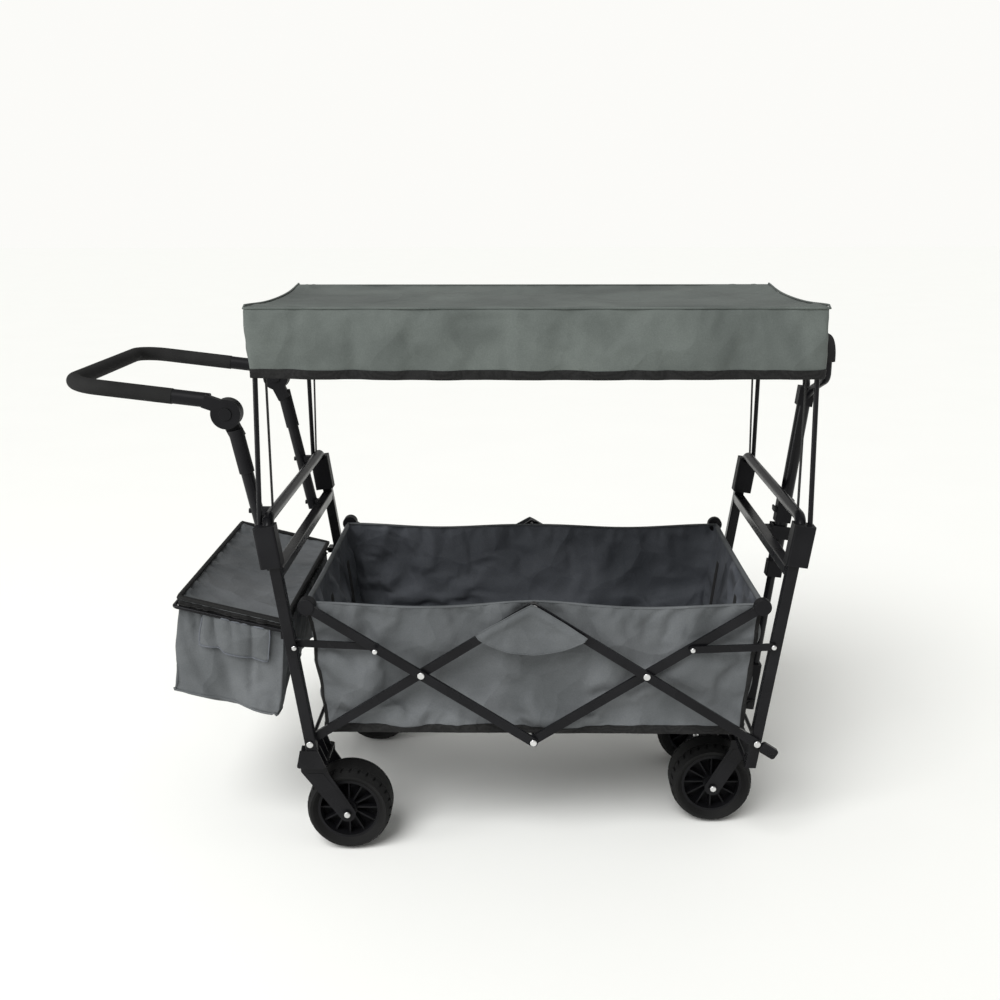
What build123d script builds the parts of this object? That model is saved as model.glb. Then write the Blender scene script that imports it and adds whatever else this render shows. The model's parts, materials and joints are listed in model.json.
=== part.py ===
from build123d import *
import os
from math import atan2, cos, degrees, hypot, radians, sin, tan

# Folding wagon with a push handle, a pull handle, a canopy and a rear bag, in millimetres.
# +X is the pull (front) end, -X the push (rear) end, +Y the left side, +Z up, floor at Z = 0.
# The model is drawn from the middle of the scissor linkage and moved to its box's centre at the end.
# "side" is +1 on the left and -1 on the right. "end" is +1 at the front and -1 at the rear.

# Scissor linkage
PIN_X = 447.0            # bottom pins from the middle
PIN_Z = 255.0            # bottom pins above the floor
LINK_RISE = 284.0        # top pins above the bottom pins
BAR_H = 18.0             # bar depth
BAR_T = 8.0              # bar thickness
BAR_WEB = 2.0            # wall of the channel bars
LAYER_GAP = 1.5          # between the two layers of bars
INNER_Y = 313.25         # centre plane of the inner bars
PIN_R = 4.0
RUN = 0.05               # radial running clearance of pins and axles
OPEN_RUN = 0.3           # radial clearance at the opened pivot
HEAD_R = 7.0
HEAD_T = 2.5
HEAD_GAP = 0.4           # bar to rivet head
CAP_R = 17.0             # moulded caps at the tub's corners
CAP_T = 3.0

# Short links between the scissors and the legs
LINK_S = 160.0           # bar pin, from the bar's upper end
LINK_Q_X = 470.0         # leg pin
LINK_Q_Z = 460.0
LINK_H = 14.0
LINK_T = 5.0
LINK_PIN_R = 3.0

# Legs and end frames
LEAN = 8.5               # legs lean outward, degrees
LEG_SIZE = 22.0
LEG_WALL = 1.5
LEG_GAP = 1.0            # bar or link to leg
LEG_FOOT_Z = {-1: 207.0, 1: 198.0}
LEG_TOP_Z = 668.0
CONNECTOR_Z = 624.0      # bottom of the corner connectors
CONNECTOR_H = 81.0
CONNECTOR_X = 42.0
CONNECTOR_Y = 38.0
CONNECTOR_OUT = 5.0      # connector centre, outward of the leg
LOWER_BAR_Z = 608.0
UPPER_BAR_Z = 714.0
UPPER_BAR_R = 11.0
UPPER_BEND = 36.0

# Wheels
WHEEL_R = 87.5
WHEEL_W = 90.0
TREAD_D = 4.0            # depth of the tread grooves
LUGS = 30                # blocks round each shoulder
RIM_R = 64.0
RIM_W = 66.0
RIM_WALL = 5.0
RIBS = 12
HUB_R = 17.0
HUB_GAP = 1.0            # hub to fork arm
AXLE_R = 5.0
FORK_GAP = 4.0           # tyre side to fork arm
FORK_T = 4.0
FORK_H = 26.0            # depth of the fork arms' upper ends
FORK_TOE = 34.0          # width of the fork arms' lower ends
CROWN_Z = 194.0          # underside of the fork crowns
CROWN_L = {-1: 54.0, 1: 40.0}
AXLE_X = {-1: 381.0, 1: 386.0}
WHEEL_Y = {-1: 260.0, 1: 135.0}
CASTER_R = 8.0           # caster stem
RACE_R = 22.0            # bearing ring round the stem
FOOT_T = 4.0             # caster bracket plate

# Push handle
POST_Y = 248.0
TUBE_R = 12.5
TUBE_WALL = 1.5
GRIP_R = 15.5
POST_LEAN = 12.0
POST_GAP = 3.5           # lower bar to post
DISC_OUT = 8.0           # hinge axis, outward of the posts' line
DISC_Z = 910.0
DISC_R = 29.0
DISC_T = 16.0            # each half of the hinge
DISC_GAP = 0.5
PIVOT_R = 6.0
BUTTON_R = 12.5
BUTTON_TRAVEL = 2.0
ARM_OUT = 32.5           # handle arms start here, from the hinge axis
ARM_UP = 24.6
ARM_SLOPE = 6.8          # degrees
GRIP_START = 104.5       # foam starts here, from the hinge axis
HANDLE_REACH = 312.0     # hinge axis to the cross grip's centre line
HANDLE_BEND = 60.0

# Pull handle, measured along its own axis from the yoke pin
YOKE_OUT = 38.0          # yoke pin, outward of the front beam's face
PULL_LEAN = 7.2
PULL_PIN_R = 4.0
STEM_R = 9.0
STEM_TOP = 655.0
SLEEVE_R = 14.0
SLEEVE_FROM = 300.0
SLEEVE_TO = 690.0
SLEEVE_RUN = 0.6
COLLAR_X = 34.0
COLLAR_Y = 30.0
LATCH_AT = 450.0
KNOB_R = 5.0
LOOP_R = 8.0
LOOP_HALF = 96.0
LOOP_FROM = 754.0
LOOP_TO = 830.0
LOOP_OUT_LOW = 14.0      # loop stands outward of the sleeve's axis
LOOP_OUT_TOP = 5.0
LOOP_BEND = 30.0
PULL_GRIP_R = 14.0

# Fabric parts
CLOTH = 3.0
TUB_TOP_X = PIN_X + 3.0
TUB_FOOT_X = PIN_X - 26.0
TUB_Y = 300.0
TUB_FOOT_Y = 294.0
TUB_TOP_Z = 541.0
TUB_FOOT_Z = 261.0
MAT_T = 9.0
MAT_GAP = 4.0
FLAP_GAP = 2.0           # rivet head to flap
FLAP_T = 2.0
CANOPY_TOP_X = PIN_X + 99.0
CANOPY_HEM_X = PIN_X + 95.0
CANOPY_Y = 298.0
CANOPY_TOP_Z = 1117.0
CANOPY_HEM_Z = 985.0
POLE_R = 5.0
POLE_FOOT_Z = 688.0
POLE_OUT = 20.0          # pole foot, outward of the leg
POLE_IN = {-1: 16.0, 1: 4.0}    # pole foot, inboard of the leg
POLE_TOP_IN = 20.0       # pole top, inboard of the canopy's side
POLE_GAP = 2.0           # pole to the cloth round it
STRAP_W = 14.0
STRAP_T = 2.0
STRAP_FOOT_Y = 262.0
STRAP_TOP_Y = 276.0
BAG_Y = 285.0
BAG_DEPTH = 184.0        # bag height along its slanted sides
BAG_TOP = (-500.0, 490.0)
BAG_SPAN = 208.0         # bag across its lid, along X
BAG_RISE = 50.0          # outer edge above the inner edge
BAG_SLANT = 8.5          # degrees
LID_T = 7.0
LID_GAP = 0.6
HOOP_R = 4.0
HOOP_DROP = 14.0         # hoop below the lid

OUTER_Y = INNER_Y + BAR_T + LAYER_GAP
PIN_FACE = OUTER_Y + BAR_T / 2 + HEAD_GAP
LEG_Y = {
    -1: INNER_Y + BAR_T / 2 + LEG_GAP + LEG_SIZE / 2,
    1: OUTER_Y - BAR_T / 2 - LEG_GAP - LEG_SIZE / 2,
}
BAR_REACH = hypot(PIN_X, LINK_RISE)
BAR_ANGLE = degrees(atan2(LINK_RISE, PIN_X))
STEM_X = {-1: PIN_X - 1, 1: PIN_X - 7}

PIECES = {}


def keep(name, *shapes):
    """Store the solids of these shapes under a node name."""
    for shape in shapes:
        PIECES.setdefault(name, []).extend(shape.solids())


def end_name(end):
    return "front" if end > 0 else "rear"


def side_name(side):
    return "left" if side > 0 else "right"


def leg_x(end, z, out=0.0):
    """X of a leaning leg's centre line at height z, moved outward."""
    return end * (PIN_X + (z - PIN_Z) * tan(radians(LEAN)) + out)


def post_x(z):
    """X of the push-handle posts' centre line at height z."""
    foot = leg_x(1, LOWER_BAR_Z) + LEG_SIZE / 2 + POST_GAP + TUBE_R
    return -(foot + (z - LOWER_BAR_Z) * tan(radians(POST_LEAN)))


# ---------------------------------------------------------------- shapes
def rod(p, q, radius):
    """Round bar from p to q."""
    axis = Vector(*q) - Vector(*p)
    across = (0, 1, 0) if abs(axis.Y) < axis.length / 2 else (1, 0, 0)
    body = Cylinder(radius, axis.length, align=(Align.CENTER, Align.CENTER, Align.MIN))
    return Plane(origin=p, x_dir=across, z_dir=axis) * body


def bar(p, q, width, depth, across=(0, 1, 0), edge=0.0):
    """Rectangular bar from p to q: its width lies across and its depth square to that."""
    axis = Vector(*q) - Vector(*p)
    body = Box(width, depth, axis.length, align=(Align.CENTER, Align.CENTER, Align.MIN))
    if edge:
        body = fillet(body.edges().filter_by(Axis.Z), edge)
    return Plane(origin=p, x_dir=across, z_dir=axis) * body


def square_tube(p, q, across=(0, 1, 0)):
    inside = LEG_SIZE - 2 * LEG_WALL
    return bar(p, q, LEG_SIZE, LEG_SIZE, across, edge=2.5) - bar(p, q, inside, inside, across)


def round_tube(p, q, radius, wall):
    return rod(p, q, radius) - rod(p, q, radius - wall)


def pipe(points, bend, radius):
    """Round bar along straight runs joined by arcs."""
    path = FilletPolyline(*points, radius=bend)
    return sweep(Plane(origin=path @ 0, z_dir=path % 0) * Circle(radius), path=path)


def hollow_pipe(points, bend, radius, wall):
    return pipe(points, bend, radius) - pipe(points, bend, radius - wall)


def y_rod(x, z, y0, y1, radius):
    return rod((x, min(y0, y1), z), (x, max(y0, y1), z), radius)


def slab(points, y0, y1):
    """Prism with an outline in X and Z, between two Y planes."""
    face = make_face(Plane.XZ * Polyline(*points, close=True))
    return Pos(0, (y0 + y1) / 2, 0) * extrude(face, abs(y1 - y0) / 2, both=True)


def head(x, z, y, side, radius=HEAD_R):
    """Rivet head with a rounded rim, standing on the plane at y."""
    button = y_rod(x, z, y, y + side * HEAD_T, radius)
    rim = button.edges().filter_by(GeomType.CIRCLE).sort_by(Axis.Y)
    return fillet(rim[-1] if side > 0 else rim[0], HEAD_T / 2)


def through_pin(x, z, half, radius, head_radius=HEAD_R):
    """Pin across the wagon with a head outside each end."""
    pin = y_rod(x, z, -half, half, radius)
    for side in (-1, 1):
        pin += head(x, z, side * half, side, head_radius)
    return pin


# ---------------------------------------------------------------- scissor linkage
def scissor_bar(low, high, y, bores):
    """Channel bar between two pin centres, open towards the wagon.

    bores pairs a place (-1 low end, 0 middle, 1 high end) with a radius.
    """
    blank = extrude(SlotCenterToCenter(BAR_REACH, BAR_H), BAR_T / 2, both=True)
    pocket = Box(BAR_REACH / 2 - 44, BAR_H - 2 * BAR_WEB, BAR_T)
    along = (high[0] - low[0], 0, high[1] - low[1])
    plane = Plane(origin=(low[0], y, low[1]), x_dir=along, z_dir=(0, -1, 0))
    inward = 1 if y < 0 else -1
    for half in (-1, 1):
        blank -= Pos(half * BAR_REACH / 4, 0, -inward * BAR_WEB) * pocket
    for place, radius in bores:
        blank -= Pos(place * BAR_REACH / 2, 0, 0) * Cylinder(radius, 3 * BAR_T)
    return plane * Pos(BAR_REACH / 2, 0, 0) * blank


def rivet(x, z, side):
    shank = y_rod(x, z, side * (INNER_Y - BAR_T / 2), side * PIN_FACE, PIN_R)
    return shank + head(x, z, side * PIN_FACE, side)


def corner_cap(pin, side, y, upper_bar):
    """Moulded cap over a bar's upper end at a corner of the tub."""
    cap = y_rod(pin[0], pin[1], side * (TUB_Y + LAYER_GAP), side * (y + BAR_T / 2 + CAP_T), CAP_R)
    cap = fillet(cap.edges().filter_by(GeomType.CIRCLE), CAP_T - 0.5)
    return cap - upper_bar


def foot_pad(side):
    """Ribbed pad beyond the lower front pin."""
    slope = radians(BAR_ANGLE)
    reach = [PIN_X + d * cos(slope) for d in (BAR_H / 2 + 0.5, 46.0)]
    drop = [PIN_Z - d * sin(slope) for d in (BAR_H / 2 + 0.5, 46.0)]
    y = side * (OUTER_Y + LAYER_GAP)
    pad = bar((reach[0], y, drop[0]), (reach[1], y, drop[1]), BAR_T + LAYER_GAP, BAR_H + 4)
    pad = fillet(pad.edges().filter_by(Axis.Y), 6.0)
    groove = Box(20, 0.8, 1.6)
    for step in range(6):
        share = 0.25 + step * 0.12
        x = reach[0] + share * (reach[1] - reach[0])
        z = drop[0] + share * (drop[1] - drop[0])
        face = y + side * (BAR_T + LAYER_GAP) / 2
        pad -= Pos(x, face, z) * Rot(0, 90 - BAR_ANGLE, 0) * groove
    return pad


def linkage():
    """Two crossed pairs of bars each side, tied under the floor by three rods."""
    top = PIN_Z + LINK_RISE
    free = PIN_R + RUN
    for side in (-1, 1):
        inner, outer = side * INNER_Y, side * OUTER_Y
        bar_b = scissor_bar((-PIN_X, PIN_Z), (0, top), inner, [(-1, PIN_R), (0, PIN_R), (1, PIN_R)])
        bar_a = scissor_bar((0, PIN_Z), (-PIN_X, top), outer, [(-1, PIN_R), (0, free)])
        bar_d = scissor_bar((PIN_X, PIN_Z), (0, top), outer, [(-1, PIN_R), (0, PIN_R), (1, free)])
        bar_c = scissor_bar((0, PIN_Z), (PIN_X, top), inner, [(-1, PIN_R + OPEN_RUN), (0, free)])
        keep("rear_lower_bars", bar_b)
        keep("rear_upper_bars", bar_a)
        keep("front_lower_bars", bar_d, foot_pad(side))
        keep("front_upper_bars", bar_c)
        keep("rear_rivets", rivet(-PIN_X / 2, PIN_Z + LINK_RISE / 2, side), rivet(0, top, side))
        keep("front_rivets", rivet(PIN_X / 2, PIN_Z + LINK_RISE / 2, side))
        keep("rear_corner_caps", corner_cap((-PIN_X, top), side, OUTER_Y, bar_a))
        keep("front_corner_caps", corner_cap((PIN_X, top), side, INNER_Y, bar_c))
    leg_face = LEG_Y[-1] + LEG_SIZE / 2 + HEAD_GAP
    keep("floor_rod_rear", through_pin(-PIN_X, PIN_Z, leg_face, PIN_R))
    keep("floor_rod_middle", through_pin(0, PIN_Z, OUTER_Y + BAR_T / 2, PIN_R))
    keep("floor_rod_front", through_pin(PIN_X, PIN_Z, OUTER_Y + BAR_T / 2, PIN_R))


def short_link(end, side):
    """Link from a leg to the nearer upper bar, with its pin through the leg."""
    y = INNER_Y if end < 0 else OUTER_Y
    slope = radians(BAR_ANGLE)
    q = (end * LINK_Q_X, LINK_Q_Z)
    r = (end * (PIN_X - LINK_S * cos(slope)), PIN_Z + (BAR_REACH - LINK_S) * sin(slope))
    reach = hypot(r[0] - q[0], r[1] - q[1])
    strip = extrude(SlotCenterToCenter(reach, LINK_H), LINK_T / 2, both=True)
    strip -= Pos(-reach / 2, 0, 0) * Cylinder(LINK_PIN_R, 3 * LINK_T)
    plane = Plane(origin=(q[0], side * y, q[1]), x_dir=(r[0] - q[0], 0, r[1] - q[1]), z_dir=(0, -1, 0))
    if end < 0:
        inner_end = y - LINK_T / 2
        outer_end = LEG_Y[end] + LEG_SIZE / 2 + HEAD_GAP
    else:
        inner_end = LEG_Y[end] - LEG_SIZE / 2
        outer_end = y + LINK_T / 2
    pin = y_rod(*q, side * inner_end, side * outer_end, LINK_PIN_R)
    pin += head(*q, side * outer_end, side, 2 * LINK_PIN_R)
    keep(f"{end_name(end)}_links", plane * Pos(reach / 2, 0, 0) * strip, pin)


# ---------------------------------------------------------------- end frames
def leg_line(end, side, z0, z1, out=0.0):
    y = side * LEG_Y[end]
    return (leg_x(end, z0, out), y, z0), (leg_x(end, z1, out), y, z1)


def above(z):
    """Large box above height z, for level cuts."""
    return Pos(0, 0, z) * Box(2400, 1200, 2400, align=(Align.CENTER, Align.CENTER, Align.MIN))


def upper_bar_points(end):
    foot_x, top_x = leg_x(end, LEG_TOP_Z + 4), leg_x(end, UPPER_BAR_Z)
    half = LEG_Y[end]
    return [
        (foot_x, -half, LEG_TOP_Z + 4),
        (top_x, -half, UPPER_BAR_Z),
        (top_x, half, UPPER_BAR_Z),
        (foot_x, half, LEG_TOP_Z + 4),
    ]


def pole_line(end, side):
    """Canopy pole from its socket in the connector to the inside of the canopy's corner."""
    foot = (leg_x(end, POLE_FOOT_Z, POLE_OUT), side * (LEG_Y[end] - POLE_IN[end]), POLE_FOOT_Z)
    inset = CLOTH + POLE_R + POLE_GAP
    top = (end * (CANOPY_HEM_X - inset), side * (CANOPY_Y - POLE_TOP_IN), CANOPY_TOP_Z - CLOTH - POLE_GAP)
    return foot, top


def end_frame(end):
    """Two leaning legs, their corner connectors and canopy poles, and two cross bars."""
    prefix = end_name(end)
    points = upper_bar_points(end)
    half = LEG_Y[end] - LEG_SIZE / 2
    lower = [(leg_x(end, LOWER_BAR_Z), y, LOWER_BAR_Z) for y in (-half, half)]
    keep(f"{prefix}_crossbars", hollow_pipe(points, UPPER_BEND, UPPER_BAR_R, LEG_WALL))
    keep(f"{prefix}_crossbars", square_tube(*lower, across=(1, 0, 0)))
    for side in (-1, 1):
        y = side * LEG_Y[end]
        p, q = leg_line(end, side, LEG_FOOT_Z[end] - LEG_SIZE, LEG_TOP_Z)
        leg = square_tube(p, q) & above(LEG_FOOT_Z[end])
        leg -= y_rod(end * PIN_X, PIN_Z, y - LEG_SIZE, y + LEG_SIZE, PIN_R + RUN)
        leg -= y_rod(end * LINK_Q_X, LINK_Q_Z, y - LEG_SIZE, y + LEG_SIZE, LINK_PIN_R + RUN)
        keep(f"{prefix}_legs", leg)
        pole = rod(*pole_line(end, side), POLE_R)
        keep(f"{prefix}_canopy_poles", pole)
        p, q = leg_line(end, side, CONNECTOR_Z, CONNECTOR_Z + CONNECTOR_H, CONNECTOR_OUT)
        sleeve = bar(p, q, CONNECTOR_Y, CONNECTOR_X, edge=5.0)
        core = leg_line(end, side, CONNECTOR_Z - LEG_SIZE, LEG_TOP_Z)
        sleeve -= bar(*core, LEG_SIZE, LEG_SIZE)
        sleeve -= pipe(points, UPPER_BEND, UPPER_BAR_R)
        keep(f"{prefix}_connectors", sleeve - pole)


def caster_foot(side):
    """Bracket under a rear leg: plate, leg wings, and a housing over the caster stem."""
    z = LEG_FOOT_Z[-1]
    x = -STEM_X[-1]
    y_in, y_out = WHEEL_Y[-1] - 38, LEG_Y[-1] + LEG_SIZE / 2 + 2.5
    plate = Box(60, y_out - y_in, FOOT_T, align=(Align.CENTER, Align.CENTER, Align.MAX))
    plate = fillet(plate.edges().filter_by(Axis.Z), 8)
    foot = Pos(x, side * (y_in + y_out) / 2, z) * plate
    wing = [(x - 29, z - 1), (x + 29, z - 1), (x + 14, z + 34), (x - 22, z + 34)]
    for y in (LEG_Y[-1] - LEG_SIZE / 2 - 2.5, LEG_Y[-1] + LEG_SIZE / 2):
        foot += slab(wing, side * y, side * (y + 2.5))
    roof_z = z + 32
    housing = [(x - 26, z - 1), (x + 26, z - 1), (x + 14, roof_z), (x - 14, roof_z)]
    for y in (WHEEL_Y[-1] - 20, WHEEL_Y[-1] + 18):
        foot += slab(housing, side * y, side * (y + 2))
    roof = Box(28, 40, 2, align=(Align.CENTER, Align.CENTER, Align.MAX))
    foot += Pos(x, side * WHEEL_Y[-1], roof_z) * roof
    foot -= Pos(x, side * WHEEL_Y[-1], z) * Cylinder(CASTER_R + RUN, 3 * FOOT_T)
    ring = Cylinder(RACE_R, 3.5, align=(Align.CENTER, Align.CENTER, Align.MAX))
    ring -= Cylinder(CASTER_R + RUN, 20)
    keep("rear_feet", foot, Pos(x, side * WHEEL_Y[-1], z - FOOT_T) * ring)


def front_yoke():
    """Beam between the front legs' feet, and the pull handle's yoke with its pin."""
    z = LEG_FOOT_Z[1] + LEG_SIZE / 2
    x = leg_x(1, z)
    half = LEG_Y[1] - LEG_SIZE / 2
    keep("front_beam", square_tube((x, -half, z), (x, half, z), across=(1, 0, 0)))
    face = x + LEG_SIZE / 2
    yoke = Pos(face, 0, z) * Box(4, 44, LEG_SIZE, align=(Align.MIN, Align.CENTER, Align.CENTER))
    for side in (-1, 1):
        ear = Box(YOKE_OUT + 10, 5, 20, align=(Align.MIN, Align.CENTER, Align.CENTER))
        ear = fillet(ear.edges().filter_by(Axis.Y).sort_by(Axis.X)[-2:], 8)
        yoke += Pos(face, side * 19.5, z) * ear
    pin_x, pin_z = yoke_pin()
    yoke -= y_rod(pin_x, pin_z, -40, 40, PULL_PIN_R)
    keep("pull_yoke", yoke, through_pin(pin_x, pin_z, 22.0, PULL_PIN_R))


# ---------------------------------------------------------------- wheels
def make_tyre():
    """Tyre with a rounded section, a plain centre band and blocks round both shoulders."""
    half = WHEEL_W / 2
    wall = [(RIM_R, -RIM_W / 2), (RIM_R + 9, -half + 2), (WHEEL_R - 9, -half)]
    wall += [(WHEEL_R - 2, -half + 13), (WHEEL_R, -half + 22)]
    outline = wall + [(x, -y) for x, y in reversed(wall)]
    tyre = revolve(make_face(Polyline(*outline, close=True)), axis=Axis.Y)
    groove = Rot(90, 0, 0) * (Cylinder(WHEEL_R + 1, 3) - Cylinder(WHEEL_R - TREAD_D, 4))
    cuts = [Pos(0, side * (half - 24), 0) * groove for side in (-1, 1)]
    slot = Box(2 * TREAD_D, 24, 5)
    for k in range(LUGS):
        for side in (-1, 1):
            turn = 360 / LUGS * (k + 0.25 * side)
            cuts.append(Rot(0, turn, 0) * Pos(WHEEL_R, side * (half - 11), 0) * Rot(side * 14, 0, 0) * slot)
    return tyre - cuts


def make_rim():
    """Dished rim with a raised lip, radial ribs and a hub bored for the axle."""
    turn = Rot(90, 0, 0)
    hub_w = WHEEL_W + 2 * (FORK_GAP - HUB_GAP)
    rim = turn * (Cylinder(RIM_R, RIM_W) - Cylinder(RIM_R - RIM_WALL, RIM_W + 1))
    rim += turn * Cylinder(HUB_R, RIM_W)
    rim += turn * Cylinder(HUB_R - 5, hub_w)
    rim += turn * (Cylinder(RIM_R - 3, 5) - Cylinder(HUB_R - 2, 6))
    rib = Pos((HUB_R + RIM_R - RIM_WALL) / 2, 0, 0) * Box(RIM_R - RIM_WALL - HUB_R + 4, RIM_W - 20, 3)
    for k in range(RIBS):
        rim += Rot(0, 360 / RIBS * k, 0) * rib
    return rim - turn * Cylinder(AXLE_R + RUN, 2 * WHEEL_W)


def fork(end, y):
    """Crown plate and two arms reaching down to the axle."""
    inside = WHEEL_W / 2 + FORK_GAP
    outside = inside + FORK_T
    x, axle = end * STEM_X[end], end * AXLE_X[end]
    half = CROWN_L[end] / 2
    back, toe = end * half, end * FORK_TOE / 2
    crown = Box(2 * half, 2 * outside, FORK_T, align=(Align.CENTER, Align.CENTER, Align.MIN))
    body = Pos(x, y, CROWN_Z) * crown
    outline = [(x - back, CROWN_Z + 1), (x + back, CROWN_Z + 1), (x + back, CROWN_Z - FORK_H / 2)]
    outline += [(axle + toe * 0.76, WHEEL_R - 11), (axle - toe * 0.76, WHEEL_R + 11)]
    outline += [(x - back, CROWN_Z - FORK_H / 2)]
    top_x, toe_x = x - 2 * end, axle + 8 * end
    press = [(top_x - back * 0.6, CROWN_Z - 16), (top_x + back * 0.6, CROWN_Z - 16)]
    press += [(toe_x + toe * 0.5, WHEEL_R + 14), (toe_x - toe * 0.5, WHEEL_R + 24)]
    for side in (-1, 1):
        y0, y1 = y + side * inside, y + side * outside
        body += slab(outline, y0, y1)
        body += y_rod(axle, WHEEL_R, y0, y1, FORK_TOE / 2)
        body += slab(press, y1, y1 + side * 0.8)
    return body - y_rod(axle, WHEEL_R, y - 2 * WHEEL_W, y + 2 * WHEEL_W, AXLE_R)


def axle_bolt(x, y):
    """Axle with a hexagonal head and nut outside the fork arms."""
    half = WHEEL_W / 2 + FORK_GAP + FORK_T
    bolt = Rot(90, 0, 0) * Cylinder(AXLE_R, 2 * half)
    for side in (-1, 1):
        nut = Rot(90, 0, 0) * extrude(RegularPolygon(9.0, 6), 2.5, both=True)
        bolt += Pos(0, side * (half + 2.5), 0) * nut
    return Pos(x, y, WHEEL_R) * bolt


def wheels():
    tyre, rim = make_tyre(), make_rim()
    plate_top = LEG_FOOT_Z[-1]
    for end in (-1, 1):
        for side in (-1, 1):
            y = side * WHEEL_Y[end]
            body = fork(end, y)
            if end < 0:
                stem = Cylinder(CASTER_R, plate_top + 10 - CROWN_Z, align=(Align.CENTER, Align.CENTER, Align.MIN))
                body += Pos(-STEM_X[-1], y, CROWN_Z) * stem
                body += Pos(-STEM_X[-1], y, plate_top + 1) * extrude(RegularPolygon(13, 6), 9)
            node = "front_forks" if end > 0 else f"rear_fork_{side_name(side)}"
            keep(node, body, axle_bolt(end * AXLE_X[end], y))
            spot = Pos(end * AXLE_X[end], y, WHEEL_R)
            keep(f"rim_{end_name(end)}_{side_name(side)}", spot * rim)
            keep(f"tyre_{end_name(end)}_{side_name(side)}", spot * tyre)


# ---------------------------------------------------------------- push handle
def hinge_x():
    return post_x(DISC_Z) - DISC_OUT


def arm_point(out, y):
    """Point on a handle arm's centre line, a distance out from the hinge axis."""
    return (hinge_x() - out, y, DISC_Z + ARM_UP + (out - ARM_OUT) * tan(radians(ARM_SLOPE)))


def handle_points(start):
    corners = [(start, -POST_Y), (HANDLE_REACH, -POST_Y), (HANDLE_REACH, POST_Y), (start, POST_Y)]
    return [arm_point(out, y) for out, y in corners]


def hinge_base(side, post):
    """Fixed half of a handle hinge, with a sleeve down the post and the pivot bolt."""
    middle = side * (POST_Y - DISC_GAP / 2)
    y = side * POST_Y
    low, high, neck = DISC_Z - 118, DISC_Z - 33, DISC_Z - 16
    body = y_rod(hinge_x(), DISC_Z, side * (POST_Y - DISC_T), middle, DISC_R)
    sleeve = rod((post_x(low), y, low), (post_x(high), y, high), TUBE_R + 2.5)
    sleeve -= y_rod(hinge_x(), DISC_Z, middle, side * (POST_Y + 40), DISC_R + 3)
    neck_y = side * (POST_Y - (DISC_T + DISC_GAP / 2) / 2)
    body += sleeve
    body += bar((post_x(low + 68), neck_y, low + 68), (hinge_x() + 2, neck_y, neck), DISC_T - DISC_GAP / 2, 28)
    body -= post
    body -= y_rod(hinge_x(), DISC_Z, -400, 400, PIVOT_R)
    bolt = y_rod(hinge_x(), DISC_Z, side * (POST_Y - DISC_T - 1), side * (POST_Y + DISC_T - 7), PIVOT_R)
    bolt += y_rod(hinge_x(), DISC_Z, side * (POST_Y - DISC_T - 4), side * (POST_Y - DISC_T), 10)
    keep("hinge_bases", body, bolt)


def hinge_cap(side):
    """Moving half of a handle hinge, with a sleeve out along the handle arm, and its button."""
    middle = side * (POST_Y + DISC_GAP / 2)
    y = side * POST_Y
    body = y_rod(hinge_x(), DISC_Z, middle, side * (POST_Y + DISC_T), DISC_R + 0.5)
    sleeve = rod(arm_point(ARM_OUT, y), arm_point(GRIP_START - 0.5, y), TUBE_R + 2)
    sleeve -= y_rod(hinge_x(), DISC_Z, side * (POST_Y - 40), middle, DISC_R + 3)
    neck_y = side * (POST_Y + (DISC_T + DISC_GAP / 2) / 2)
    near, far = arm_point(8, neck_y), arm_point(ARM_OUT + 10, neck_y)
    body += sleeve
    body += bar((near[0], neck_y, near[2] - 8), far, DISC_T - DISC_GAP / 2, 26)
    body -= rod(arm_point(ARM_OUT + 12, y), arm_point(GRIP_START + 4, y), TUBE_R)
    recess = side * (POST_Y + DISC_T - BUTTON_TRAVEL - 3)
    body -= y_rod(hinge_x(), DISC_Z, recess, side * (POST_Y + 60), BUTTON_R + 0.5)
    keep("hinge_caps", body - y_rod(hinge_x(), DISC_Z, -400, 400, PIVOT_R + RUN))
    button = y_rod(hinge_x(), DISC_Z, side * (POST_Y + DISC_T - 2.5), side * (POST_Y + DISC_T + 2), BUTTON_R)
    keep(f"hinge_button_{side_name(side)}", fillet(button.edges().filter_by(GeomType.CIRCLE), 1.0))


def post_fixings(y, post):
    """Saddles between a post and the two cross bars, and the bolts' nuts on its outer side."""
    for z, radius in ((LOWER_BAR_Z, 0), (UPPER_BAR_Z, UPPER_BAR_R)):
        x = leg_x(-1, z)
        saddle = Pos((x + post_x(z)) / 2, y, z) * Box(abs(post_x(z) - x), 18, 14)
        if radius:
            saddle -= y_rod(x, z, y - 40, y + 40, radius)
        else:
            saddle -= Pos(x, y, z) * Box(LEG_SIZE, 40, 2 * LEG_SIZE)
        saddle -= post
        keep("post_fixings", saddle.solids().sort_by(SortBy.VOLUME)[-1])
        tip = post_x(z) - TUBE_R
        keep("post_fixings", rod((tip + 3, y, z), (tip - 4, y, z), 5.0) - post)


def push_handle():
    keep("push_handle_tube", hollow_pipe(handle_points(ARM_OUT + 12), HANDLE_BEND, TUBE_R, TUBE_WALL))
    keep("push_handle_grip", hollow_pipe(handle_points(GRIP_START), HANDLE_BEND, GRIP_R, GRIP_R - TUBE_R))
    for side in (-1, 1):
        y = side * POST_Y
        low, high = LOWER_BAR_Z - 14, DISC_Z - 42
        line = (post_x(low), y, low), (post_x(high), y, high)
        keep("handle_posts", round_tube(*line, TUBE_R, TUBE_WALL))
        solid_post = rod(*line, TUBE_R)
        hinge_base(side, solid_post)
        hinge_cap(side)
        post_fixings(y, solid_post)


# ---------------------------------------------------------------- pull handle
def yoke_pin():
    z = LEG_FOOT_Z[1] + LEG_SIZE / 2
    return leg_x(1, z) + LEG_SIZE / 2 + YOKE_OUT, z


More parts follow.
